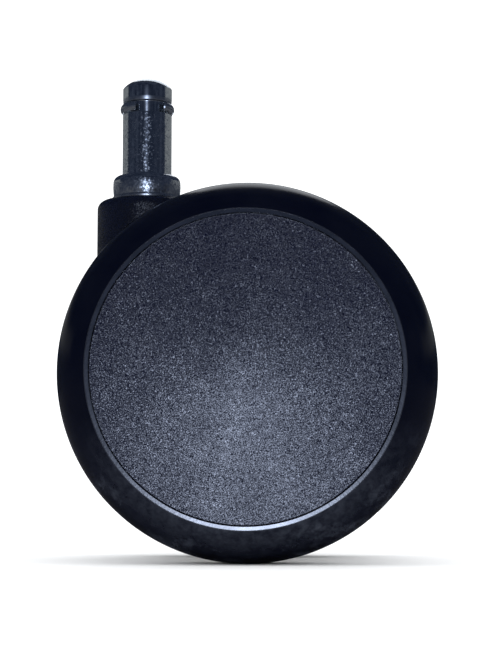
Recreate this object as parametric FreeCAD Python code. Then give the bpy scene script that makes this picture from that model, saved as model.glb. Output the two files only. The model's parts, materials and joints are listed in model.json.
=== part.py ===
import FreeCAD, Part
import math
import os

# A twin-wheel chair caster with a grip-ring stem, in millimetres.
# The origin is on the swivel axis, in the plane of the stem collar's upper face.
# +Z is up along the stem, +X is the side to which the wheels trail, Y is along the axle.
# The caster travels towards -X with its stem leading, so the left wheel is at -Y.
# A wheel's outlines are (radius, distance from the middle plane); the stem's are (radius, height).

# --- stem: a turned steel pin for an 11 x 22 mm furniture socket ---
PIN_R = 5.5
PIN_LENGTH = 22.0
DOME_RISE = 2.1
DOME_FLAT_R = 1.1
RING_GROOVE_LOW = 14.0
RING_GROOVE_HIGH = 16.6
RING_GROOVE_R = 4.7
COLLAR_R = 7.45
COLLAR_BULGE = 0.1
COLLAR_HEIGHT = 4.7
COLLAR_ROUND = 1.5
SPINDLE_R = 5.5
SPINDLE_END = -24.6
SPINDLE_CHAMFER = 0.8
SNAP_GROOVE_HIGH = -20.25
SNAP_GROOVE_LOW = -21.65
SNAP_GROOVE_R = 4.7

# --- grip ring: a barrelled split ring of spring strip ---
GRIP_LOW = 14.15
GRIP_HIGH = 16.35
GRIP_CREST_R = 6.05
GRIP_EDGE_R = 5.5
GRIP_THICKNESS = 0.5
GRIP_GAP = 66.0
GRIP_GAP_CENTRE = 11.0

# --- swivel washer and snap ring ---
WASHER_THICKNESS = 0.9
WASHER_R = 7.75
WASHER_BORE_R = 5.6
WASHER_ROUND = 0.35
SNAP_R = 6.2
SNAP_THICKNESS = 1.2
SNAP_BORE_R = 4.8
SNAP_GAP = 30.0

# --- housing: a moulded neck and arm between the wheels ---
NECK_R = 11.0
NECK_TOP = -5.65
NECK_ROUND = 2.0
ARM_UPPER_Z = -25.0
ARM_UPPER_R = 11.0
ARM_BOSS_R = 12.5
ARM_HALF_WIDTH = 10.0
ARM_ROUND = 1.6
BOSS_R = 8.5
BOSS_FACE_Y = 11.0
SOCKET_R = 7.0
BUSH_TOP = -6.15
BUSH_END = -20.0
CHAMBER_R = 6.7
CHAMBER_END = -25.4
RUNNING_CLEARANCE = 0.05

# --- axle, its washers and clips ---
AXLE_X = 23.15
AXLE_Z = -45.12
AXLE_R = 4.0
AXLE_END_Y = 25.6
AXLE_CHAMFER = 0.6
THRUST_WASHER_R = 7.5
THRUST_WASHER_THICKNESS = 1.0
OUTER_WASHER_R = 7.0
OUTER_WASHER_THICKNESS = 0.8
AXIAL_PLAY = 0.1
CLIP_R = 6.6
CLIP_THICKNESS = 1.0
CLIP_GROOVE_WIDTH = 1.1
CLIP_GROOVE_R = 3.2
CLIP_SLOT_HALF = 2.4
CLIP_LOBE_GAP = 2.6
CLIP_NOTCH_R = 1.1

# --- wheel: core, tyre and cover, 80 mm across ---
WHEEL_R = 40.0
TREAD_INNER_Y = 12.3
TREAD_OUTER_Y = 20.0
TREAD_INNER_ROUND = 1.3
LIP_R = 33.0
LIP_Y = 31.4
LIP_SEAM_R = 32.7
LIP_INNER_R = 31.95
LIP_SLOPE = 7.0
LIP_ROUND = 0.06
RIM_R = 33.6
RIM_STEP_Y = 28.4
RIM_BORE_R = 30.5
RIM_INNER_Y = 12.8
RIM_END_Y = 29.4
WEB_RECESS = 1.2
WEB_RECESS_INNER_R = 12.5
WEB_RECESS_OUTER_R = 31.2
WEB_THICKNESS = 2.5
HUB_R = 9.5
HUB_OUTER_Y = 22.6
BUSH_R = 6.0
RIB_COUNT = 8
RIB_THICKNESS = 2.0
RIB_OUTER_Y = 22.0
COVER_R = 31.85
COVER_EDGE_Y = 31.15
COVER_EDGE_ROUND = 0.06
DISH_EDGE_SLOPE = 8.8
DISH_APEX_R = 8.0
DISH_APEX_SLOPE = 3.5
COVER_THICKNESS = 1.5
SKIRT_R = 30.45
SKIRT_THICKNESS = 1.6
SKIRT_END_Y = 24.6
SNAP_BEAD_Y = 25.6
SNAP_BEAD_WIDTH = 1.2
SNAP_BEAD_HEIGHT = 0.35

HUB_INNER_Y = BOSS_FACE_Y + THRUST_WASHER_THICKNESS + AXIAL_PLAY
OUTER_WASHER_Y = HUB_OUTER_Y + AXIAL_PLAY
CLIP_Y = OUTER_WASHER_Y + OUTER_WASHER_THICKNESS
SIDES = {"left": -1, "right": 1}
Y_AXIS = FreeCAD.Vector(0, 1, 0)
Z_AXIS = FreeCAD.Vector(0, 0, 1)
ORIGIN = FreeCAD.Vector(0, 0, 0)


def on_stem(radius, height):
    """A point of an outline that turns about the stem's axis."""
    return FreeCAD.Vector(radius, 0, height)


def on_wheel(radius, distance):
    """A point of an outline that turns about the axle."""
    return FreeCAD.Vector(radius, distance, 0)


def run_of(steps, place):
    """The edges along an outline's steps: a point for a straight run, or (point on an arc, its end)."""
    start = steps[0]
    edges = []
    for step in steps[1:]:
        if isinstance(step[0], tuple):
            through, end = step
            edges.append(Part.Arc(place(*start), place(*through), place(*end)).toShape())
        else:
            end = step
            edges.append(Part.LineSegment(place(*start), place(*end)).toShape())
        start = end
    return edges


def edges_of(steps, place):
    """The edges of a whole outline, closed by a straight run."""
    return run_of(steps + [steps[0]], place)


def turned(edges, axis, angle=360.0):
    """The solid that a closed outline sweeps about an axis through the origin."""
    solid = Part.Face(Part.Wire(edges)).revolve(ORIGIN, axis, angle)
    return solid if solid.Volume > 0 else solid.reversed()


def turned_on_stem(steps, angle=360.0):
    return turned(edges_of(steps, on_stem), Z_AXIS, angle)


def turned_on_axle(steps, side):
    """A solid turned about the axle, on one side of the caster."""
    return to_side(turned(edges_of(steps, on_wheel), Y_AXIS), side)


def to_side(solid, side):
    """Moves a piece drawn about the Y axis to the axle, mirrored for the side at -Y."""
    if side < 0:
        solid = solid.mirror(ORIGIN, Y_AXIS)
    solid.translate(FreeCAD.Vector(AXLE_X, 0, AXLE_Z))
    return solid


def tube(inner, outer, near, far, side):
    """A plain ring about the axle between two distances from the middle plane."""
    return turned_on_axle([(inner, near), (outer, near), (outer, far), (inner, far)], side)


def corner_arc(centre, radius, start, end):
    """The arc step of a rounded corner, from its centre and the angles where it starts and ends."""
    middle = math.radians((start + end) / 2)
    last = math.radians(end)
    through = (centre[0] + radius * math.cos(middle), centre[1] + radius * math.sin(middle))
    finish = (centre[0] + radius * math.cos(last), centre[1] + radius * math.sin(last))
    return (through, finish)


def lip_face_y(radius):
    """How far out the lip's bevelled face is at a radius: it falls a little towards the cover."""
    return LIP_Y - (LIP_R - radius) * math.tan(math.radians(LIP_SLOPE))


def dome_steps():
    """The rounded upper end of the pin, as one arc that stops at a small flat."""
    base = PIN_LENGTH - DOME_RISE
    reach = PIN_R - DOME_FLAT_R
    radius = (reach ** 2 + DOME_RISE ** 2) / (2 * DOME_RISE)
    half = math.asin(reach / radius) / 2
    through = (DOME_FLAT_R + radius * math.sin(half), PIN_LENGTH - radius * (1 - math.cos(half)))
    return [(PIN_R, base), (through, (DOME_FLAT_R, PIN_LENGTH))]


def stem():
    collar_round = corner_arc((COLLAR_R - COLLAR_ROUND, -COLLAR_ROUND), COLLAR_ROUND, 0, 90)
    collar_middle = (COLLAR_R + COLLAR_BULGE, -(COLLAR_HEIGHT + COLLAR_ROUND) / 2)
    steps = [
        (0, SPINDLE_END),
        (SPINDLE_R - SPINDLE_CHAMFER, SPINDLE_END),
        (SPINDLE_R, SPINDLE_END + SPINDLE_CHAMFER),
        (SPINDLE_R, SNAP_GROOVE_LOW),
        (SNAP_GROOVE_R, SNAP_GROOVE_LOW),
        (SNAP_GROOVE_R, SNAP_GROOVE_HIGH),
        (SPINDLE_R, SNAP_GROOVE_HIGH),
        (SPINDLE_R, -COLLAR_HEIGHT),
        (COLLAR_R, -COLLAR_HEIGHT),
        (collar_middle, (COLLAR_R, -COLLAR_ROUND)),
        collar_round,
        (PIN_R, 0),
        (PIN_R, RING_GROOVE_LOW),
        (RING_GROOVE_R, RING_GROOVE_LOW),
        (RING_GROOVE_R, RING_GROOVE_HIGH),
        (PIN_R, RING_GROOVE_HIGH),
    ]
    return turned_on_stem(steps + dome_steps() + [(0, PIN_LENGTH)])


def grip_ring():
    middle = (GRIP_LOW + GRIP_HIGH) / 2
    inner_edge = GRIP_EDGE_R - GRIP_THICKNESS
    inner_crest = GRIP_CREST_R - GRIP_THICKNESS
    steps = [
        (inner_edge, GRIP_LOW),
        (GRIP_EDGE_R, GRIP_LOW),
        ((GRIP_CREST_R, middle), (GRIP_EDGE_R, GRIP_HIGH)),
        (inner_edge, GRIP_HIGH),
        ((inner_crest, middle), (inner_edge, GRIP_LOW)),
    ]
    ring = turned(run_of(steps, on_stem), Z_AXIS, 360 - GRIP_GAP)
    gap_side = -90 + GRIP_GAP_CENTRE
    ring.rotate(ORIGIN, Z_AXIS, gap_side + GRIP_GAP / 2)
    return ring


def swivel_washer():
    top = -COLLAR_HEIGHT
    foot = top - WASHER_THICKNESS
    steps = [
        (WASHER_BORE_R, foot),
        (WASHER_R - WASHER_ROUND, foot),
        corner_arc((WASHER_R - WASHER_ROUND, foot + WASHER_ROUND), WASHER_ROUND, -90, 0),
        (WASHER_R, top - WASHER_ROUND),
        corner_arc((WASHER_R - WASHER_ROUND, top - WASHER_ROUND), WASHER_ROUND, 0, 90),
        (WASHER_BORE_R, top),
    ]
    return turned_on_stem(steps)


def stem_snap_ring():
    top = (SNAP_GROOVE_HIGH + SNAP_GROOVE_LOW + SNAP_THICKNESS) / 2
    foot = top - SNAP_THICKNESS
    steps = [(SNAP_BORE_R, foot), (SNAP_R, foot), (SNAP_R, top), (SNAP_BORE_R, top)]
    return turned_on_stem(steps, 360 - SNAP_GAP)


def stem_bush():
    bore = SPINDLE_R + RUNNING_CLEARANCE
    steps = [(bore, BUSH_END), (SOCKET_R, BUSH_END), (SOCKET_R, BUSH_TOP), (bore, BUSH_TOP)]
    return turned_on_stem(steps)


def neck():
    steps = [
        (0, ARM_UPPER_Z),
        (NECK_R, ARM_UPPER_Z),
        (NECK_R, NECK_TOP - NECK_ROUND),
        corner_arc((NECK_R - NECK_ROUND, NECK_TOP - NECK_ROUND), NECK_ROUND, 0, 90),
        (0, NECK_TOP),
    ]
    return turned_on_stem(steps)


def neck_foot():
    """The ball that closes the neck below, at the arm's upper end."""
    return Part.makeSphere(NECK_R, FreeCAD.Vector(0, 0, ARM_UPPER_Z))


def arm():
    """The flat arm from the neck down to the axle: two round ends joined by their tangents."""
    span = math.hypot(AXLE_X, AXLE_Z - ARM_UPPER_Z)
    lean = math.atan2(AXLE_Z - ARM_UPPER_Z, AXLE_X)
    tangent = math.acos((ARM_UPPER_R - ARM_BOSS_R) / span)

    def rim_point(centre_x, centre_z, radius, angle):
        return FreeCAD.Vector(
            centre_x + radius * math.cos(angle), -ARM_HALF_WIDTH, centre_z + radius * math.sin(angle)
        )

    upper = [rim_point(0, ARM_UPPER_Z, ARM_UPPER_R, lean + turn) for turn in (tangent, math.pi, -tangent)]
    lower = [rim_point(AXLE_X, AXLE_Z, ARM_BOSS_R, lean + turn) for turn in (-tangent, 0, tangent)]
    edges = [
        Part.Arc(*upper).toShape(),
        Part.LineSegment(upper[2], lower[0]).toShape(),
        Part.Arc(*lower).toShape(),
        Part.LineSegment(lower[2], upper[0]).toShape(),
    ]
    plate = Part.Face(Part.Wire(edges)).extrude(FreeCAD.Vector(0, 2 * ARM_HALF_WIDTH, 0))
    outline = [edge for edge in plate.Edges if abs(abs(edge.CenterOfMass.y) - ARM_HALF_WIDTH) < 0.01]
    return plate.makeFillet(ARM_ROUND, outline)


def about_axle(radius, half_length):
    """A cylinder on the axle's line, centred on the middle plane."""
    foot = FreeCAD.Vector(AXLE_X, -half_length, AXLE_Z)
    return Part.makeCylinder(radius, 2 * half_length, foot, Y_AXIS)


def housing():
    body = neck().fuse([neck_foot(), arm(), about_axle(BOSS_R, BOSS_FACE_Y)])
    socket = Part.makeCylinder(SOCKET_R, NECK_TOP - BUSH_END, FreeCAD.Vector(0, 0, BUSH_END))
    chamber_depth = BUSH_END - CHAMBER_END
    chamber = Part.makeCylinder(CHAMBER_R, chamber_depth, FreeCAD.Vector(0, 0, CHAMBER_END))
    axle_bore = about_axle(AXLE_R, BOSS_FACE_Y + 1)
    return body.cut([socket, chamber, axle_bore]).removeSplitter()


def axle():
    """The axle, with a clip groove near each end."""
    half = [
        (0, 0),
        (AXLE_R, 0),
        (AXLE_R, CLIP_Y),
        (CLIP_GROOVE_R, CLIP_Y),
        (CLIP_GROOVE_R, CLIP_Y + CLIP_GROOVE_WIDTH),
        (AXLE_R, CLIP_Y + CLIP_GROOVE_WIDTH),
        (AXLE_R, AXLE_END_Y - AXLE_CHAMFER),
        (AXLE_R - AXLE_CHAMFER, AXLE_END_Y),
        (0, AXLE_END_Y),
    ]
    halves = [turned_on_axle(half, side) for side in SIDES.values()]
    return halves[0].fuse(halves[1]).removeSplitter()


def thrust_washer(side):
    bore = AXLE_R + RUNNING_CLEARANCE
    return tube(bore, THRUST_WASHER_R, BOSS_FACE_Y, BOSS_FACE_Y + THRUST_WASHER_THICKNESS, side)


def outer_washer(side):
    return tube(AXLE_R + RUNNING_CLEARANCE, OUTER_WASHER_R, OUTER_WASHER_Y, CLIP_Y, side)


def axle_clip(side):
    """An E-clip: three lobes grip the groove, and the open side slides over the axle."""
    start = CLIP_Y
    ring = Part.makeCylinder(CLIP_R, CLIP_THICKNESS, FreeCAD.Vector(0, start, 0), Y_AXIS)
    seat = Part.makeCylinder(CLIP_GROOVE_R, CLIP_THICKNESS, FreeCAD.Vector(0, start, 0), Y_AXIS)
    corner = FreeCAD.Vector(-CLIP_SLOT_HALF, start, -CLIP_R)
    slot = Part.makeBox(2 * CLIP_SLOT_HALF, CLIP_THICKNESS, CLIP_R, corner)
    notches = [
        Part.makeCylinder(CLIP_NOTCH_R, CLIP_THICKNESS, FreeCAD.Vector(x, start, CLIP_LOBE_GAP), Y_AXIS)
        for x in (-CLIP_LOBE_GAP, CLIP_LOBE_GAP)
    ]
    return to_side(ring.cut([seat, slot] + notches), side)


def tyre(side):
    """The tyre: a flat tread, and a long round shoulder up to a crest that meets the core's lip."""
    inner_round_centre = (WHEEL_R - TREAD_INNER_ROUND, TREAD_INNER_Y + TREAD_INNER_ROUND)
    rise = LIP_Y - TREAD_OUTER_Y
    drop = WHEEL_R - LIP_R
    shoulder_r = (rise ** 2 + drop ** 2) / (2 * drop)
    shoulder_end = math.degrees(math.asin(rise / shoulder_r))
    steps = [
        (WHEEL_R - TREAD_INNER_ROUND, TREAD_INNER_Y),
        corner_arc(inner_round_centre, TREAD_INNER_ROUND, -90, 0),
        (WHEEL_R, TREAD_OUTER_Y),
        corner_arc((WHEEL_R - shoulder_r, TREAD_OUTER_Y), shoulder_r, 0, shoulder_end),
        (LIP_SEAM_R, lip_face_y(LIP_SEAM_R)),
        (LIP_SEAM_R, RIM_STEP_Y),
        (RIM_R, RIM_STEP_Y),
        (RIM_R, TREAD_INNER_Y),
    ]
    return turned_on_axle(steps, side)


def wheel_core(side):
    """The moulded core: hub, web, ribs, and a rim with a snap groove and a lip round the cover."""
    web_face = RIM_INNER_Y + WEB_RECESS
    web_top = web_face + WEB_THICKNESS
    groove_r = RIM_BORE_R + SNAP_BEAD_HEIGHT + RUNNING_CLEARANCE
    groove_half = SNAP_BEAD_WIDTH / 2 + RUNNING_CLEARANCE
    lip_edge_y = lip_face_y(LIP_INNER_R)
    lip_edge_centre = (LIP_INNER_R + LIP_ROUND, lip_edge_y - LIP_ROUND)
    steps = [
        (BUSH_R, HUB_INNER_Y),
        (HUB_R, HUB_INNER_Y),
        (HUB_R, RIM_INNER_Y),
        (WEB_RECESS_INNER_R, RIM_INNER_Y),
        (WEB_RECESS_INNER_R + WEB_RECESS, web_face),
        (WEB_RECESS_OUTER_R - WEB_RECESS, web_face),
        (WEB_RECESS_OUTER_R, RIM_INNER_Y),
        (RIM_R, RIM_INNER_Y),
        (RIM_R, RIM_STEP_Y),
        (LIP_SEAM_R, RIM_STEP_Y),
        (LIP_SEAM_R, lip_face_y(LIP_SEAM_R)),
        (LIP_INNER_R + LIP_ROUND, lip_edge_y),
        corner_arc(lip_edge_centre, LIP_ROUND, 90, 180),
        (LIP_INNER_R, RIM_END_Y),
        (RIM_BORE_R, RIM_END_Y),
        (RIM_BORE_R, SNAP_BEAD_Y + groove_half),
        (groove_r, SNAP_BEAD_Y + groove_half),
        (groove_r, SNAP_BEAD_Y - groove_half),
        (RIM_BORE_R, SNAP_BEAD_Y - groove_half),
        (RIM_BORE_R, web_top),
        (HUB_R, web_top),
        (HUB_R, HUB_OUTER_Y),
        (BUSH_R, HUB_OUTER_Y),
    ]
    body = turned(edges_of(steps, on_wheel), Y_AXIS)
    return to_side(body.fuse(ribs(web_top)).removeSplitter(), side)


def ribs(web_top):
    """The ribs from hub to rim, under the cover's skirt."""
    inner = HUB_R - 1
    length = RIM_BORE_R + 1 - inner
    corner = FreeCAD.Vector(inner, web_top - 1, -RIB_THICKNESS / 2)
    plates = []
    for number in range(RIB_COUNT):
        plate = Part.makeBox(length, RIB_OUTER_Y - web_top + 1, RIB_THICKNESS, corner)
        plate.rotate(ORIGIN, Y_AXIS, number * 360 / RIB_COUNT)
        plates.append(plate)
    return plates


def dish_steps(edge_r, edge_y):
    """The dish from near its edge to its centre: a long shallow arc, then a softer one at the apex."""
    edge = math.radians(DISH_EDGE_SLOPE)
    apex = math.radians(DISH_APEX_SLOPE)
    long_r = (edge_r - DISH_APEX_R) / (math.sin(edge) - math.sin(apex))
    long_centre = (edge_r - long_r * math.sin(edge), edge_y + long_r * math.cos(edge))
    apex_r = DISH_APEX_R / math.sin(apex)
    apex_centre = (0, long_centre[1] + (apex_r - long_r) * math.cos(apex))
    return [
        (edge_r, edge_y),
        corner_arc(long_centre, long_r, DISH_EDGE_SLOPE - 90, DISH_APEX_SLOPE - 90),
        corner_arc(apex_centre, apex_r, DISH_APEX_SLOPE - 90, -90),
    ]


def cover(side):
    """The snap-in cover: a dished disc on a skirt with a bead."""
    edge_r = COVER_R - COVER_EDGE_ROUND
    skirt_bore = SKIRT_R - SKIRT_THICKNESS
    bead_r = SKIRT_R + SNAP_BEAD_HEIGHT
    bead_half = SNAP_BEAD_WIDTH / 2
    dish = dish_steps(edge_r, COVER_EDGE_Y)
    centre_y = dish[-1][1][1]
    edge_fall = (edge_r - skirt_bore) * math.tan(math.radians(DISH_EDGE_SLOPE))
    steps = [
        (0, centre_y - COVER_THICKNESS),
        (DISH_APEX_R, centre_y - COVER_THICKNESS),
        (skirt_bore, COVER_EDGE_Y - edge_fall - COVER_THICKNESS),
        (skirt_bore, SKIRT_END_Y),
        (SKIRT_R - SNAP_BEAD_HEIGHT, SKIRT_END_Y),
        (SKIRT_R, SNAP_BEAD_Y - bead_half),
        (bead_r, SNAP_BEAD_Y),
        (SKIRT_R, SNAP_BEAD_Y + bead_half),
        (SKIRT_R, RIM_END_Y),
        (COVER_R, RIM_END_Y),
        (COVER_R, COVER_EDGE_Y - COVER_EDGE_ROUND),
        corner_arc((edge_r, COVER_EDGE_Y - COVER_EDGE_ROUND), COVER_EDGE_ROUND, 0, 90),
    ]
    return turned_on_axle(steps + dish[1:], side)


def hub_bush(side):
    return tube(AXLE_R + RUNNING_CLEARANCE, BUSH_R, HUB_INNER_Y, HUB_OUTER_Y, side)


WHOLE_PIECES = {
    "stem": stem,
    "grip_ring": grip_ring,
    "swivel_washer": swivel_washer,
    "stem_snap_ring": stem_snap_ring,
    "stem_bush": stem_bush,
    "housing": housing,
    "axle": axle,
}

PAIRED_PIECES = {
    "thrust_washer": thrust_washer,
    "hub_bush": hub_bush,
    "wheel_core": wheel_core,
    "tyre": tyre,
    "cover": cover,
    "outer_washer": outer_washer,
    "axle_clip": axle_clip,
}


def pieces():
    """Every piece of the caster by name; a pair has one piece on each side."""
    made = {name: make() for name, make in WHOLE_PIECES.items()}
    for side_name, side in SIDES.items():
        for name, make in PAIRED_PIECES.items():
            made[side_name + "_" + name] = make(side)
    return made


os.makedirs("parts", exist_ok=True)
for name, shape in pieces().items():
    shape.exportStep("parts/" + name + ".step")
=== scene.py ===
import json
import math

import bmesh
import bpy
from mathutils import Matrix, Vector

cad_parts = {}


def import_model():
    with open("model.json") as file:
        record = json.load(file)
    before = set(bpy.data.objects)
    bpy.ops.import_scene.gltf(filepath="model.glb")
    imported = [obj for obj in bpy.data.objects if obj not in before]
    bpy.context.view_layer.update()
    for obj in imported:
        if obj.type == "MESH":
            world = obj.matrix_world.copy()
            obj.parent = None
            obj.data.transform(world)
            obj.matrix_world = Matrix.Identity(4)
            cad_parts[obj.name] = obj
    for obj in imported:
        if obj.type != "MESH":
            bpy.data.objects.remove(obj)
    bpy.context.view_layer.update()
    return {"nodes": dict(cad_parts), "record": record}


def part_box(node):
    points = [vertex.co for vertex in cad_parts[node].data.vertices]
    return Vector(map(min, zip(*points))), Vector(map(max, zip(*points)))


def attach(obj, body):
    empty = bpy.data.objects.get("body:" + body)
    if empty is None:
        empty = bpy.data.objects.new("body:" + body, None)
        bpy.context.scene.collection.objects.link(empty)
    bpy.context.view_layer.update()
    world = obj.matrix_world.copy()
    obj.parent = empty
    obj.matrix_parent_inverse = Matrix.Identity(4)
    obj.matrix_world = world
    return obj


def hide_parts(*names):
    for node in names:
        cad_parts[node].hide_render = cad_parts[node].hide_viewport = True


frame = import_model()

# The looks of a twin-wheel chair caster. Outlines are in millimetres, as (radius, distance along
# the axis, corner radius), and turn about the stem (Z) or the axle (Y, from the middle plane).

MM = 0.001
TURN_STEPS = 288
ROUND_STEPS = 6
ROUND_LEAD = 0.25
MERGE_DISTANCE = 1e-7  # metres
SMOOTH_BELOW = 32.0  # degrees between faces

# --- wheel ---
WHEEL_R = 40.0
TREAD_INNER_Y = 12.3
TREAD_OUTER_Y = 20.0
TREAD_INNER_ROUND = 1.3
TREAD_INNER_STEPS = 12
TREAD_STEPS = 8
SHOULDER_STEPS = 56
LIP_R = 33.0
LIP_Y = 31.4
CREST_ROUND = 0.06
CREST_ANGLE = 0.4  # degrees of the shoulder's arc that the crest's round takes
LIP_SEAM_R = 32.9
LIP_INNER_R = 32.08
LIP_SLOPE = 7.0
LIP_ROUND = 0.06
SEAM_HALF = 0.005
SEAM_ROUND = 0.03
RIM_R = 33.6
RIM_STEP_Y = 28.4
RIM_BORE_R = 30.5
RIM_INNER_Y = 12.8
RIM_END_Y = 29.4
WEB_RECESS = 1.2
WEB_RECESS_INNER_R = 12.5
WEB_RECESS_OUTER_R = 31.2
WEB_THICKNESS = 2.5
WEB_ROUND = 0.4
HUB_R = 9.5
HUB_INNER_Y = 12.1
HUB_OUTER_Y = 22.6
HUB_BORE_R = 6.0
HUB_BORE_ROUND = 0.2
CORE_ROUND = 0.3
RIB_COUNT = 8
RIB_THICKNESS = 2.0
RIB_OUTER_Y = 22.0
RIB_OVERLAP = 0.5
COVER_R = 31.85
COVER_EDGE_Y = 31.15
COVER_EDGE_ROUND = 0.06
COVER_EDGE_STEPS = 8
DISH_EDGE_SLOPE = 8.8
DISH_APEX_R = 8.0
DISH_APEX_SLOPE = 3.5
DISH_STEPS = 48
DISH_APEX_STEPS = 20
DISH_EDGE_STEP = 0.01
COVER_THICKNESS = 1.5
SKIRT_R = 30.45
SKIRT_THICKNESS = 1.6
SKIRT_END_Y = 24.6
SKIRT_CHAMFER = 0.35
SKIRT_CHAMFER_LENGTH = 0.4

# --- stem, ring and washer ---
PIN_R = 5.5
PIN_LENGTH = 22.0
DOME_RISE = 2.1
DOME_FLAT_R = 1.1
DOME_STEPS = 24
PIN_FOOT_ROUND = 0.2
RING_GROOVE_LOW = 14.0
RING_GROOVE_HIGH = 16.6
RING_GROOVE_R = 4.7
GROOVE_TAPER = 0.08
GROOVE_EDGE_ROUND = 0.12
GROOVE_LOW_ROUND = 0.1
GROOVE_HIGH_ROUND = 0.2
HEAD_EDGE_ROUND = 0.15
HEAD_TAPER = 0.07
HEAD_TAPER_HEIGHT = 0.85
COLLAR_R = 7.45
COLLAR_BULGE = 0.1
COLLAR_LEAN = 3.0
COLLAR_HEIGHT = 4.7
COLLAR_ROUND = 1.5
COLLAR_FOOT_ROUND = 0.15
COLLAR_WALL_STEPS = 12
COLLAR_ROUND_STEPS = 14
SPINDLE_END = -24.6
SPINDLE_END_ROUND = 0.8
SPINDLE_EDGE_ROUND = 0.1
SNAP_GROOVE_HIGH = -20.25
SNAP_GROOVE_LOW = -21.65
GRIP_LOW = 14.15
GRIP_HIGH = 16.35
GRIP_CREST_R = 6.05
GRIP_EDGE_R = 5.5
GRIP_THICKNESS = 0.5
GRIP_EDGE_TRIM = 0.12
GRIP_OUTER_STEPS = 20
GRIP_INNER_STEPS = 12
GRIP_TURN_STEPS = 200
GRIP_CHAMFER = 0.2
GRIP_GAP = 66.0
GRIP_GAP_CENTRE = 11.0
WASHER_THICKNESS = 0.9
WASHER_R = 7.75
WASHER_BORE_R = 5.6
WASHER_ROUND = 0.3
WASHER_BORE_ROUND = 0.1
WASHER_TAPER = 0.05

# --- where a finish changes, in metres: along the stem, and on the tyre from the axle, where a dusty layer and a painted floor reflection lie ---
COLLAR_DULL = (-0.0012, -0.0022)
PIN_POLISHED = (0.0130, 0.0142)
HEAD_FOOT = (0.0163, 0.0165)
HEAD_RUBBED = (0.0173, 0.0176)
LIP_FILM_RADII = (0.0330, 0.0390)
LOWER_HALF = (-0.010, -0.032)

# --- studio, in metres and watts ---
FLOOR_HALF = 3.0
LIGHTS = (  # name, place, size, power, colour
    ("key", (0.009, -0.400, 0.010), 0.024, 0.144, (0.67, 0.765, 1.0)),
    ("rear_soft", (0.05, 0.75, -0.02), 0.30, 0.4, (0.86, 0.91, 1.0)),
    ("rear_top", (0.02, 0.55, 0.45), 0.40, 0.4, (0.93, 0.96, 1.0)),
)
CAMERA_PLACE = (0.0354, -0.380, -0.0695)
CAMERA_TURN = (95.28, -0.07, 2.04)
CAMERA_LENS = 93.9
CAMERA_CLIP = (0.01, 20)


# --- outlines and meshes ---

def arc(centre, radius, start, end, steps):
    """Points along an arc, from its centre and its angles in degrees."""
    angles = [math.radians(start + (end - start) * i / steps) for i in range(steps + 1)]
    return [(centre[0] + radius * math.cos(a), centre[1] + radius * math.sin(a)) for a in angles]


def rounded(corners):
    """A closed outline whose corners (radius, distance, corner radius) are rounded off.

    A point just beyond each end of a round keeps the straight runs flat when shaded smooth.
    """
    points = []
    for i, (x, y, size) in enumerate(corners):
        here = Vector((x, y))
        if not size:
            points.append((x, y))
            continue
        before = (Vector(corners[i - 1][:2]) - here).normalized()
        after = (Vector(corners[(i + 1) % len(corners)][:2]) - here).normalized()
        half = before.angle(after) / 2
        centre = here + (before + after).normalized() * size / math.sin(half)
        first = here + before * size / math.tan(half) - centre
        last = here + after * size / math.tan(half) - centre
        turn = first.angle_signed(last)
        start = math.atan2(first.y, first.x)
        points.append(tuple(centre + first + before * size * ROUND_LEAD))
        for step in range(ROUND_STEPS + 1):
            angle = start - turn * step / ROUND_STEPS
            points.append((centre.x + size * math.cos(angle), centre.y + size * math.sin(angle)))
        points.append(tuple(centre + last + after * size * ROUND_LEAD))
    return points


def turned(name, outline, axis, origin, side=1):
    """A mesh object that a closed outline makes when it turns about an axis through origin."""
    sections = [(360 * step / TURN_STEPS, outline) for step in range(TURN_STEPS)]
    return swept(name, sections, axis, origin, side, True)


def split_ring(name, outline, origin, start, span):
    """A ring about the stem's axis with a gap; its two ends are chamfered."""
    ease = math.degrees(GRIP_CHAMFER / GRIP_EDGE_R)
    end = inset(outline, GRIP_CHAMFER)
    step = (span - 2 * ease) / GRIP_TURN_STEPS
    middle = [(start + ease + step * i, outline) for i in range(GRIP_TURN_STEPS + 1)]
    return swept(name, [(start, end)] + middle + [(start + span, end)], "Z", origin, 1, False)


def inset(outline, distance):
    """An outline, drawn anticlockwise, moved inwards by a distance."""
    moved = []
    for i, (x, y) in enumerate(outline):
        before, after = outline[i - 1], outline[(i + 1) % len(outline)]
        along = Vector((after[0] - before[0], after[1] - before[1])).normalized()
        moved.append((x - along.y * distance, y + along.x * distance))
    return moved


def swept(name, sections, axis, origin, side, closed):
    """A mesh object through outlines that stand at angles about an axis, as (degrees, outline)."""
    bm = bmesh.new()
    rings = []
    for degrees, outline in sections:
        angle = math.radians(degrees)
        ring = []
        for radius, along in outline:
            x, y = radius * math.cos(angle) * MM, radius * math.sin(angle) * MM
            place = (x, side * along * MM, y) if axis == "Y" else (x, y, along * MM)
            ring.append(bm.verts.new(place))
        rings.append(ring)
    points = len(rings[0])
    following = rings[1:] + rings[:1] if closed else rings[1:]
    for one, two in zip(rings, following):
        for i in range(points):
            j = (i + 1) % points
            bm.faces.new((one[i], one[j], two[j], two[i]))
    if not closed:
        bm.faces.new(rings[0])
        bm.faces.new(rings[-1])
    bmesh.ops.remove_doubles(bm, verts=bm.verts, dist=MERGE_DISTANCE)
    bmesh.ops.dissolve_degenerate(bm, edges=bm.edges, dist=MERGE_DISTANCE)
    bmesh.ops.recalc_face_normals(bm, faces=bm.faces)
    return finished(name, bm, origin)


def finished(name, bm, origin):
    """Turns mesh data into a smooth-shaded object in the scene."""
    mesh = bpy.data.meshes.new(name)
    smooth(bm, mesh)
    piece = bpy.data.objects.new(name, mesh)
    piece.location = origin
    bpy.context.scene.collection.objects.link(piece)
    return piece


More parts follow.
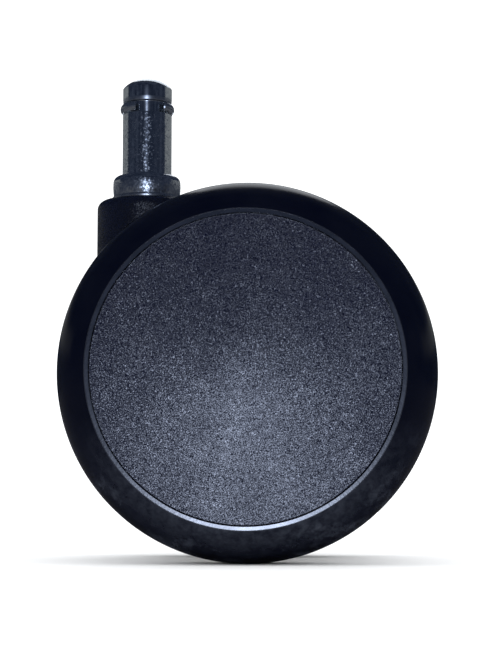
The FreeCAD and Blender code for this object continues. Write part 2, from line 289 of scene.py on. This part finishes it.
def smooth(bm, mesh):
    """Writes mesh data to a mesh, shaded smooth except at its sharp edges."""
    bm.to_mesh(mesh)
    bm.free()
    mesh.shade_smooth()
    mesh.set_sharp_from_angle(angle=math.radians(SMOOTH_BELOW))


def slope_at(radius):
    """The lip's surface at a radius: it falls a little towards the cover."""
    return LIP_Y - (LIP_R - radius) * math.tan(math.radians(LIP_SLOPE))


def tyre_outline():
    rise = LIP_Y - TREAD_OUTER_Y
    drop = WHEEL_R - LIP_R
    shoulder_r = (rise ** 2 + drop ** 2) / (2 * drop)
    end = math.degrees(math.asin(rise / shoulder_r))
    inner_centre = (WHEEL_R - TREAD_INNER_ROUND, TREAD_INNER_Y + TREAD_INNER_ROUND)
    tread_start = inner_centre[1]
    tread_step = (TREAD_OUTER_Y - tread_start) / TREAD_STEPS
    tread = [(WHEEL_R, tread_start + tread_step * i) for i in range(1, TREAD_STEPS)]
    inner_edge = LIP_SEAM_R + SEAM_HALF
    tilt = math.radians(end)
    crest = rounded([
        (LIP_R + math.sin(tilt), LIP_Y - math.cos(tilt), 0),
        (LIP_R, LIP_Y, CREST_ROUND),
        (inner_edge, slope_at(inner_edge), SEAM_ROUND),
        (inner_edge, RIM_STEP_Y, 0),
    ])
    shoulder_centre = (WHEEL_R - shoulder_r, TREAD_OUTER_Y)
    return (
        arc(inner_centre, TREAD_INNER_ROUND, -90, 0, TREAD_INNER_STEPS)
        + tread
        + arc(shoulder_centre, shoulder_r, 0, end - CREST_ANGLE, SHOULDER_STEPS)
        + crest[1:]
        + [(RIM_R, RIM_STEP_Y), (RIM_R, TREAD_INNER_Y)]
    )


def core_outline():
    web_face = RIM_INNER_Y + WEB_RECESS
    web_top = web_face + WEB_THICKNESS
    lip_edge = LIP_SEAM_R - SEAM_HALF
    return rounded([
        (HUB_BORE_R, HUB_INNER_Y, HUB_BORE_ROUND),
        (HUB_R, HUB_INNER_Y, CORE_ROUND),
        (HUB_R, RIM_INNER_Y, 0),
        (WEB_RECESS_INNER_R, RIM_INNER_Y, WEB_ROUND),
        (WEB_RECESS_INNER_R + WEB_RECESS, web_face, WEB_ROUND),
        (WEB_RECESS_OUTER_R - WEB_RECESS, web_face, WEB_ROUND),
        (WEB_RECESS_OUTER_R, RIM_INNER_Y, WEB_ROUND),
        (RIM_R, RIM_INNER_Y, 0),
        (RIM_R, RIM_STEP_Y, 0),
        (lip_edge, RIM_STEP_Y, 0),
        (lip_edge, slope_at(lip_edge), SEAM_ROUND),
        (LIP_INNER_R, slope_at(LIP_INNER_R), LIP_ROUND),
        (LIP_INNER_R, RIM_END_Y, 0),
        (RIM_BORE_R, RIM_END_Y, 0),
        (RIM_BORE_R, web_top, CORE_ROUND),
        (HUB_R, web_top, CORE_ROUND),
        (HUB_R, HUB_OUTER_Y, CORE_ROUND),
        (HUB_BORE_R, HUB_OUTER_Y, HUB_BORE_ROUND),
    ])


def dish_points(edge_r, edge_y):
    """The dish from its edge to its centre: a long shallow arc, then a softer one at the apex.

    A point close to the edge keeps the dish's own slope there when shaded smooth.
    """
    edge = math.radians(DISH_EDGE_SLOPE)
    apex = math.radians(DISH_APEX_SLOPE)
    long_r = (edge_r - DISH_APEX_R) / (math.sin(edge) - math.sin(apex))
    long_centre = (edge_r - long_r * math.sin(edge), edge_y + long_r * math.cos(edge))
    apex_r = DISH_APEX_R / math.sin(apex)
    apex_centre = (0, long_centre[1] + (apex_r - long_r) * math.cos(apex))
    start, join = DISH_EDGE_SLOPE - 90, DISH_APEX_SLOPE - 90
    near_edge = arc(long_centre, long_r, start, start - DISH_EDGE_STEP, 1)
    long_arc = arc(long_centre, long_r, start, join, DISH_STEPS)
    apex_arc = arc(apex_centre, apex_r, join, -90, DISH_APEX_STEPS)
    return near_edge + long_arc[1:] + apex_arc[1:]


def cover_outline():
    edge_r = COVER_R - COVER_EDGE_ROUND
    skirt_bore = SKIRT_R - SKIRT_THICKNESS
    dish = dish_points(edge_r, COVER_EDGE_Y)
    centre_y = dish[-1][1]
    edge_fall = (edge_r - skirt_bore) * math.tan(math.radians(DISH_EDGE_SLOPE))
    rim_centre = (edge_r, COVER_EDGE_Y - COVER_EDGE_ROUND)
    rim = arc(rim_centre, COVER_EDGE_ROUND, 0, 90, COVER_EDGE_STEPS)
    return [
        (0, centre_y - COVER_THICKNESS),
        (DISH_APEX_R, centre_y - COVER_THICKNESS),
        (skirt_bore, COVER_EDGE_Y - edge_fall - COVER_THICKNESS),
        (skirt_bore, SKIRT_END_Y),
        (SKIRT_R - SKIRT_CHAMFER, SKIRT_END_Y),
        (SKIRT_R, SKIRT_END_Y + SKIRT_CHAMFER_LENGTH),
        (SKIRT_R, RIM_END_Y),
        (COVER_R, RIM_END_Y),
    ] + rim + dish[1:]


def collar_wall():
    """The collar's wall, slightly barrelled and narrower at its foot, and the round above it."""
    half = (COLLAR_HEIGHT - COLLAR_ROUND) / 2
    radius = (half ** 2 + COLLAR_BULGE ** 2) / (2 * COLLAR_BULGE)
    reach = math.degrees(math.asin(half / radius))
    middle = -COLLAR_ROUND - half + radius * math.sin(math.radians(COLLAR_LEAN))
    low, high = -reach - COLLAR_LEAN, reach - COLLAR_LEAN
    wall_centre = (COLLAR_R + COLLAR_BULGE - radius, middle)
    wall = arc(wall_centre, radius, low, high, COLLAR_WALL_STEPS)
    top_centre = wall[-1][0] - COLLAR_ROUND * math.cos(math.radians(high))
    top = arc((top_centre, -COLLAR_ROUND), COLLAR_ROUND, high, 90, COLLAR_ROUND_STEPS)
    return [(*wall[0], COLLAR_FOOT_ROUND)] + [(*point, 0) for point in wall[1:] + top]


def stem_outline():
    base = PIN_LENGTH - DOME_RISE
    reach = PIN_R - DOME_FLAT_R
    radius = (reach ** 2 + DOME_RISE ** 2) / (2 * DOME_RISE)
    dome_start = math.degrees(math.asin((radius - DOME_RISE) / radius))
    dome = arc((DOME_FLAT_R, PIN_LENGTH - radius), radius, dome_start, 90, DOME_STEPS)
    lower = rounded([
        (0, SPINDLE_END, 0),
        (PIN_R, SPINDLE_END, SPINDLE_END_ROUND),
        (PIN_R, SNAP_GROOVE_LOW, SPINDLE_EDGE_ROUND),
        (RING_GROOVE_R, SNAP_GROOVE_LOW, 0),
        (RING_GROOVE_R, SNAP_GROOVE_HIGH, 0),
        (PIN_R, SNAP_GROOVE_HIGH, SPINDLE_EDGE_ROUND),
        (PIN_R, -COLLAR_HEIGHT, 0),
        *collar_wall(),
        (PIN_R, 0, PIN_FOOT_ROUND),
        (PIN_R, RING_GROOVE_LOW, GROOVE_EDGE_ROUND),
        (RING_GROOVE_R - GROOVE_TAPER, RING_GROOVE_LOW, GROOVE_LOW_ROUND),
        (RING_GROOVE_R + GROOVE_TAPER, RING_GROOVE_HIGH, GROOVE_HIGH_ROUND),
        (PIN_R - HEAD_TAPER, RING_GROOVE_HIGH, HEAD_EDGE_ROUND),
        (PIN_R, RING_GROOVE_HIGH + HEAD_TAPER_HEIGHT, 0),
        (PIN_R, base, 0),
        (0, base, 0),
    ])
    return lower[:-1] + dome + [(0, PIN_LENGTH)]


def grip_outline():
    middle = (GRIP_LOW + GRIP_HIGH) / 2
    half = (GRIP_HIGH - GRIP_LOW) / 2
    bulge = GRIP_CREST_R - GRIP_EDGE_R
    radius = (half ** 2 + bulge ** 2) / (2 * bulge)
    reach = math.degrees(math.asin((half - GRIP_EDGE_TRIM) / radius))
    centre = (GRIP_CREST_R - radius, middle)
    outer = arc(centre, radius, -reach, reach, GRIP_OUTER_STEPS)
    inner = arc(centre, radius - GRIP_THICKNESS, reach, -reach, GRIP_INNER_STEPS)
    return outer + inner


def washer_outline():
    top = -COLLAR_HEIGHT
    foot = top - WASHER_THICKNESS
    return rounded([
        (WASHER_BORE_R, foot, WASHER_BORE_ROUND),
        (WASHER_R - WASHER_TAPER, foot, WASHER_ROUND),
        (WASHER_R, top, WASHER_ROUND),
        (WASHER_BORE_R, top, WASHER_BORE_ROUND),
    ])


def add_ribs(piece, side):
    """The ribs of a wheel core, from hub to rim, under the cover."""
    bm = bmesh.new()
    bm.from_mesh(piece.data)
    web_top = RIM_INNER_Y + WEB_RECESS + WEB_THICKNESS
    inner, outer = HUB_R - RIB_OVERLAP, RIM_BORE_R + RIB_OVERLAP
    for number in range(RIB_COUNT):
        angle = 2 * math.pi * number / RIB_COUNT
        corners = []
        for radius in (inner, outer):
            for across in (-RIB_THICKNESS / 2, RIB_THICKNESS / 2):
                for along in (web_top - RIB_OVERLAP, RIB_OUTER_Y):
                    x = radius * math.cos(angle) - across * math.sin(angle)
                    z = radius * math.sin(angle) + across * math.cos(angle)
                    corners.append(bm.verts.new((x * MM, side * along * MM, z * MM)))
        bmesh.ops.convex_hull(bm, input=corners)
    smooth(bm, piece.data)


# --- materials ---

def tree(name):
    """A new material with a Principled shader, as (material, node tree, shader)."""
    made = bpy.data.materials.new(name)
    made.use_nodes = True
    nodes = made.node_tree.nodes
    return made, made.node_tree, nodes["Principled BSDF"]


def node(graph, kind, inputs=(), **settings):
    """A node with its settings; inputs are (name, value or another node's output)."""
    made = graph.nodes.new(kind)
    for key, value in settings.items():
        setattr(made, key, value)
    for key, value in inputs:
        if isinstance(value, bpy.types.NodeSocket):
            graph.links.new(value, made.inputs[key])
        else:
            made.inputs[key].default_value = value
    return made


def coordinates(graph):
    return node(graph, "ShaderNodeTexCoord").outputs["Object"]


def calculated(graph, operation, first, second):
    """A number worked out from two others."""
    made = node(graph, "ShaderNodeMath", [(0, first), (1, second)], operation=operation)
    return made.outputs[0]


def vector_math(graph, operation, *inputs):
    """A vector calculation, with its inputs as in node."""
    return node(graph, "ShaderNodeVectorMath", inputs, operation=operation)


def mixed(graph, factor, first, second):
    """A node that mixes the shaders of two nodes."""
    inputs = [("Fac", factor), (1, first.outputs[0]), (2, second.outputs[0])]
    return node(graph, "ShaderNodeMixShader", inputs)


def noise(graph, scale, detail, rough, vector=None):
    where = vector or coordinates(graph)
    made = node(graph, "ShaderNodeTexNoise", [
        ("Vector", where), ("Scale", scale), ("Detail", detail), ("Roughness", rough),
    ])
    return made.outputs["Fac"]


def spread(graph, value, low, high, to_low, to_high):
    """Maps a value from one range to another, clamped."""
    made = node(graph, "ShaderNodeMapRange", [
        ("Value", value), ("From Min", low), ("From Max", high),
        ("To Min", to_low), ("To Max", to_high),
    ])
    return made.outputs["Result"]


def ramp(graph, value, stops):
    """A colour ramp over a value; stops are (place, colour)."""
    made = node(graph, "ShaderNodeValToRGB", [("Fac", value)])
    elements = made.color_ramp.elements
    while len(elements) < len(stops):
        elements.new(0.5)
    for element, (place, colour) in zip(elements, stops):
        element.position = place
        element.color = (*colour, 1)
    return made.outputs["Color"]


def bump(graph, height, distance):
    inputs = [("Height", height), ("Strength", 1.0), ("Distance", distance)]
    return node(graph, "ShaderNodeBump", inputs).outputs["Normal"]


def scattered(graph, scale, amount):
    """A surface normal scattered by fine noise, as on a spark-eroded face."""
    grain = node(graph, "ShaderNodeTexNoise", [
        ("Vector", coordinates(graph)), ("Scale", scale), ("Detail", 1.0), ("Roughness", 0.6),
    ])
    middle = (0.5, 0.5, 0.5)
    centred = vector_math(graph, "SUBTRACT", (0, grain.outputs["Color"]), (1, middle))
    sized = vector_math(graph, "SCALE", (0, centred.outputs[0]), ("Scale", amount))
    face = node(graph, "ShaderNodeNewGeometry").outputs["Normal"]
    moved = vector_math(graph, "ADD", (0, face), (1, sized.outputs[0]))
    return vector_math(graph, "NORMALIZE", (0, moved.outputs[0])).outputs[0]


def link_surface(graph, shader, colour, roughness, normal):
    """Links a shader's colour, roughness and normal."""
    for key, value in (("Base Color", colour), ("Roughness", roughness), ("Normal", normal)):
        graph.links.new(value, shader.inputs[key])


def cover_plastic():
    """Black plastic with a coarse spark-eroded texture that sparkles under the key light."""
    made, graph, shader = tree("cover_plastic")
    patches = noise(graph, 1500, 2.0, 0.6)
    sparkle = noise(graph, 5200, 1.0, 0.5)
    colour = ramp(graph, sparkle, [
        (0.38, (0.0004, 0.0011, 0.0085)), (0.64, (0.0042, 0.0058, 0.0205)),
    ])
    rough = spread(graph, patches, 0.3, 0.7, 0.19, 0.26)
    glint = spread(graph, sparkle, 0.36, 0.64, 0.02, 0.98)
    clouds = spread(graph, noise(graph, 100, 3.0, 0.65), 0.35, 0.65, 0.82, 1.18)
    gloss = calculated(graph, "MULTIPLY", glint, clouds)
    graph.links.new(gloss, shader.inputs["Specular IOR Level"])
    link_surface(graph, shader, colour, rough, scattered(graph, 4800, 0.31))
    return made


def tyre_rubber():
    """Smooth black rubber, nearly without colour, with faint cloudy marks and a painted floor
    reflection on its lower half.
    """
    made, graph, shader = tree("tyre_rubber")
    shader.inputs["Specular IOR Level"].default_value = 0.26
    broad = noise(graph, 90, 3.0, 0.6)
    fine = noise(graph, 900, 2.0, 0.6)
    colour = ramp(graph, broad, [(0.35, (0.0006, 0.0012, 0.0052)), (0.7, (0.0012, 0.0020, 0.0070))])
    rough = spread(graph, broad, 0.35, 0.7, 0.18, 0.26)
    link_surface(graph, shader, colour, rough, bump(graph, fine, 0.000006))
    dust_and_painted_reflection(graph, shader)
    return made


def dust_and_painted_reflection(graph, shader):
    """A dull, dusty layer on a tyre's lower half, beside the lip and in pale rub marks; it is
    partly a painted reflection of the floor that lightens the lower half.
    """
    where = coordinates(graph)
    height = node(graph, "ShaderNodeSeparateXYZ", [("Vector", where)]).outputs["Z"]
    flat = vector_math(graph, "MULTIPLY", (0, where), (1, (1.0, 0.0, 1.0)))
    radius = vector_math(graph, "LENGTH", (0, flat.outputs[0])).outputs["Value"]
    lip_film = spread(graph, radius, *LIP_FILM_RADII, 0.85, 0.0)
    lower_half = spread(graph, height, *LOWER_HALF, 0.0, 1.0)
    clouds = spread(graph, noise(graph, 110, 4.0, 0.7), 0.47, 0.66, 0.0, 1.0)
    streaks = spread(graph, noise(graph, 500, 3.0, 0.7), 0.35, 0.65, 0.3, 1.0)
    marks = calculated(graph, "MULTIPLY", calculated(graph, "MAXIMUM", clouds, lip_film), streaks)
    dust_and_reflection_mask = calculated(graph, "MULTIPLY", marks, lower_half)
    # Painted reflection: this pale diffuse colour lightens the tyre's lower half, partly as dust
    # and rub marks and partly in place of the floor's reflection.
    haze_and_reflection = node(graph, "ShaderNodeBsdfDiffuse", [("Color", (0.040, 0.046, 0.061, 1))])
    surface = mixed(graph, spread(graph, dust_and_reflection_mask, 0.0, 1.0, 0.0, 0.8), shader, haze_and_reflection)
    graph.links.new(surface.outputs[0], graph.nodes["Material Output"].inputs["Surface"])


def core_plastic():
    """Moulded black plastic; the lip that shows round the cover is polished."""
    made, graph, shader = tree("core_plastic")
    shader.inputs["Specular IOR Level"].default_value = 0.32
    broad = noise(graph, 150, 3.0, 0.6)
    fine = noise(graph, 1600, 2.0, 0.6)
    colour = ramp(graph, broad, [(0.35, (0.0040, 0.0062, 0.0130)), (0.7, (0.0062, 0.0086, 0.0180))])
    rough = spread(graph, broad, 0.35, 0.7, 0.125, 0.15)
    link_surface(graph, shader, colour, rough, bump(graph, fine, 0.000004))
    return made


def housing_plastic():
    """Black nylon with a fine grain."""
    made, graph, shader = tree("housing_plastic")
    broad = noise(graph, 120, 3.0, 0.6)
    grain = noise(graph, 3000, 2.0, 0.6)
    colour = ramp(graph, broad, [(0.3, (0.0009, 0.0021, 0.0085)), (0.7, (0.0020, 0.0035, 0.0115))])
    rough = spread(graph, grain, 0.3, 0.7, 0.18, 0.30)
    link_surface(graph, shader, colour, rough, scattered(graph, 4600, 1.15))
    return made


def plated_steel(name, light, dark, low, high, mottle):
    """Zinc-plated steel with a mottled surface; low and high are its roughness range."""
    made, graph, shader = tree(name)
    shader.inputs["Metallic"].default_value = 1.0
    spots = noise(graph, mottle, 3.0, 0.6)
    fine = noise(graph, mottle * 3, 2.0, 0.5)
    colour = ramp(graph, spots, [(0.35, dark), (0.65, light)])
    rough = spread(graph, fine, 0.3, 0.7, low, high)
    link_surface(graph, shader, colour, rough, bump(graph, spots, 0.00003))
    return made


def moulded(name, light, dark, low, high, metallic):
    """A plain moulded or sintered surface with a fine grain."""
    made, graph, shader = tree(name)
    shader.inputs["Metallic"].default_value = metallic
    grain = noise(graph, 2600, 2.0, 0.6)
    colour = ramp(graph, grain, [(0.3, dark), (0.7, light)])
    rough = spread(graph, grain, 0.3, 0.7, low, high)
    link_surface(graph, shader, colour, rough, bump(graph, grain, 0.00001))
    return made


def stem_steel():
    """Bright zinc-plated steel.

    The pin has small dull spots below the ring, its head is rubbed at the foot, and the collar is
    duller all over and sparkles.
    """
    made, graph, shader = tree("stem_steel")
    shader.inputs["Metallic"].default_value = 1.0
    spots = noise(graph, 1100, 3.0, 0.65)
    dull_spots = noise(graph, 2300, 2.0, 0.5)
    height = node(graph, "ShaderNodeSeparateXYZ", [("Vector", coordinates(graph))]).outputs["Z"]
    colour = ramp(graph, spots, [(0.34, (0.60, 0.65, 0.72)), (0.66, (0.88, 0.93, 0.97))])

    spot_rough = spread(graph, height, *PIN_POLISHED, 0.52, 0.13)
    rough = spread(graph, dull_spots, 0.57, 0.72, 0.13, spot_rough)
    rubbed = spread(graph, height, *HEAD_RUBBED, 0.17, 0.0)
    head = spread(graph, height, *HEAD_FOOT, 0.0, 1.0)
    collar = spread(graph, height, *COLLAR_DULL, 0.0, 0.15)
    worn = calculated(graph, "ADD", collar, calculated(graph, "MULTIPLY", rubbed, head))
    total = calculated(graph, "ADD", rough, worn)

    pin_relief = spread(graph, height, *PIN_POLISHED, 0.15, 0.02)
    relief = spread(graph, height, *COLLAR_DULL, pin_relief, 0.56)
    link_surface(graph, shader, colour, total, scattered(graph, 1800, relief))
    return made


MATERIALS = {
    "cover_plastic": cover_plastic(),
    "tyre": tyre_rubber(),
    "core_plastic": core_plastic(),
    "housing_plastic": housing_plastic(),
    "stem_steel": stem_steel(),
}
for slot_name, light, dark, low, high, mottle in (
    ("spring_steel", (0.90, 0.95, 0.98), (0.66, 0.71, 0.76), 0.22, 0.38, 1400),
    ("washer_steel", (0.84, 0.87, 0.90), (0.60, 0.63, 0.67), 0.22, 0.36, 1400),
    ("axle_steel", (0.56, 0.57, 0.58), (0.40, 0.41, 0.43), 0.22, 0.34, 1200),
):
    MATERIALS[slot_name] = plated_steel(slot_name, light, dark, low, high, mottle)
for slot_name, light, dark, low, high, metallic in (
    ("bush_bronze", (0.42, 0.30, 0.16), (0.30, 0.20, 0.10), 0.35, 0.5, 1.0),
    ("slide_plastic", (0.62, 0.62, 0.58), (0.55, 0.55, 0.51), 0.4, 0.5, 0.0),
):
    MATERIALS[slot_name] = moulded(slot_name, light, dark, low, high, metallic)


def dress(piece, name):
    """Gives a piece one material slot with its material."""
    piece.data.materials.clear()
    piece.data.materials.append(MATERIALS[name])


def stand_in(piece, body, cad_name, slot_name):
    """Puts a finished piece on a body in place of a CAD node."""
    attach(piece, body)
    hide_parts(cad_name)
    dress(piece, slot_name)


# --- the pieces ---

lower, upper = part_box("left_tyre")
axle_centre = Vector(((lower.x + upper.x) / 2, 0, (lower.z + upper.z) / 2))
floor_z = lower.z
origin = Vector((0, 0, 0))

for side_name, side in (("left", -1), ("right", 1)):
    tyre = turned(side_name + "_soft_tyre", tyre_outline(), "Y", axle_centre, side)
    core = turned(side_name + "_rim", core_outline(), "Y", axle_centre, side)
    cover = turned(side_name + "_dish", cover_outline(), "Y", axle_centre, side)
    add_ribs(core, side)
    stand_in(tyre, side_name + "_wheel", side_name + "_tyre", "tyre")
    stand_in(core, side_name + "_wheel", side_name + "_wheel_core", "core_plastic")
    stand_in(cover, side_name + "_wheel", side_name + "_cover", "cover_plastic")

stem = turned("turned_stem", stem_outline(), "Z", origin)
gap_start = -90 + GRIP_GAP_CENTRE + GRIP_GAP / 2
grip = split_ring("split_grip_ring", grip_outline(), origin, gap_start, 360 - GRIP_GAP)
washer = turned("thin_washer", washer_outline(), "Z", origin)
stand_in(stem, "stem", "stem", "stem_steel")
stand_in(grip, "stem", "grip_ring", "spring_steel")
stand_in(washer, "stem", "swivel_washer", "washer_steel")

# The CAD nodes that still show keep their shapes and get these materials.
for row in frame["record"]["subparts"]:
    shown = frame["nodes"][row["node"]]
    if not shown.hide_render:
        dress(shown, row["material_slot"])


# --- floor, light and camera ---

def floor():
    """A pale floor, clear from below; glossy surfaces see it dim, as a floor in shadow."""
    bm = bmesh.new()
    bmesh.ops.create_grid(bm, x_segments=4, y_segments=4, size=FLOOR_HALF)
    mesh = bpy.data.meshes.new("floor")
    bm.to_mesh(mesh)
    bm.free()
    made = bpy.data.objects.new("floor", mesh)
    made.location = (0, 0, floor_z)
    bpy.context.scene.collection.objects.link(made)
    surface, graph, shader = tree("pale_floor")
    path = node(graph, "ShaderNodeLightPath")
    pale = node(graph, "ShaderNodeBsdfDiffuse", [("Color", (0.95, 0.95, 0.95, 1))])
    dim = node(graph, "ShaderNodeBsdfDiffuse", [("Color", (0.052, 0.053, 0.060, 1))])
    pick = mixed(graph, path.outputs["Is Glossy Ray"], pale, dim)
    clear = node(graph, "ShaderNodeBsdfTransparent")
    under = node(graph, "ShaderNodeNewGeometry").outputs["Backfacing"]
    sides = mixed(graph, under, pick, clear)
    graph.links.new(sides.outputs[0], graph.nodes["Material Output"].inputs["Surface"])
    graph.nodes.remove(shader)
    mesh.materials.append(surface)


def backdrop(graph, colour, strength):
    return node(graph, "ShaderNodeBackground", [("Color", colour), ("Strength", strength)])


def world():
    """White to the camera and for soft light; glossy surfaces see a pale band in a dim room.

    The band is a little above the horizon behind the object.
    """
    made = bpy.data.worlds.new("studio")
    bpy.context.scene.world = made
    made.use_nodes = True
    graph = made.node_tree
    graph.nodes.clear()
    path = node(graph, "ShaderNodeLightPath")
    direction = node(graph, "ShaderNodeTexCoord").outputs["Generated"]
    split = node(graph, "ShaderNodeSeparateXYZ", [("Vector", direction)])
    behind = spread(graph, split.outputs["Y"], 0.10, 0.16, 0.0, 1.0)
    above = spread(graph, split.outputs["Z"], 0.135, 0.16, 0.0, 1.0)
    below = spread(graph, split.outputs["Z"], 0.235, 0.265, 1.0, 0.0)
    wall = calculated(graph, "MULTIPLY", behind, above)
    band = calculated(graph, "MULTIPLY", wall, below)
    clutter = noise(graph, 5.0, 3.0, 0.6, direction)
    room = ramp(graph, clutter, [(0.40, (0.007, 0.011, 0.023)), (0.62, (0.036, 0.044, 0.066))])
    soft = backdrop(graph, (0.98, 0.99, 1.0, 1), 1.45)
    mirror = mixed(
        graph, band, backdrop(graph, room, 1.0), backdrop(graph, (0.185, 0.193, 0.197, 1), 1.0)
    )
    pick = mixed(graph, path.outputs["Is Glossy Ray"], soft, mirror)
    output = node(graph, "ShaderNodeOutputWorld")
    graph.links.new(pick.outputs[0], output.inputs["Surface"])
    made.cycles.sampling_method = "NONE"


def area_light(name, place, size, power, colour):
    """A round light that points at the axle and doesn't show itself."""
    data = bpy.data.lights.new(name, "AREA")
    data.shape = "DISK"
    data.size = size
    data.energy = power
    data.color = colour
    made = bpy.data.objects.new(name, data)
    made.location = place
    made.rotation_euler = (axle_centre - Vector(place)).to_track_quat("-Z", "Y").to_euler()
    made.visible_camera = False
    bpy.context.scene.collection.objects.link(made)


floor()
world()
for light in LIGHTS:
    area_light(*light)

camera_data = bpy.data.cameras.new("camera")
camera_data.lens = CAMERA_LENS
camera_data.clip_start, camera_data.clip_end = CAMERA_CLIP
camera = bpy.data.objects.new("camera", camera_data)
camera.location = CAMERA_PLACE
camera.rotation_euler = [math.radians(angle) for angle in CAMERA_TURN]
bpy.context.scene.collection.objects.link(camera)
bpy.context.scene.camera = camera
bpy.context.scene.view_settings.view_transform = "Standard"
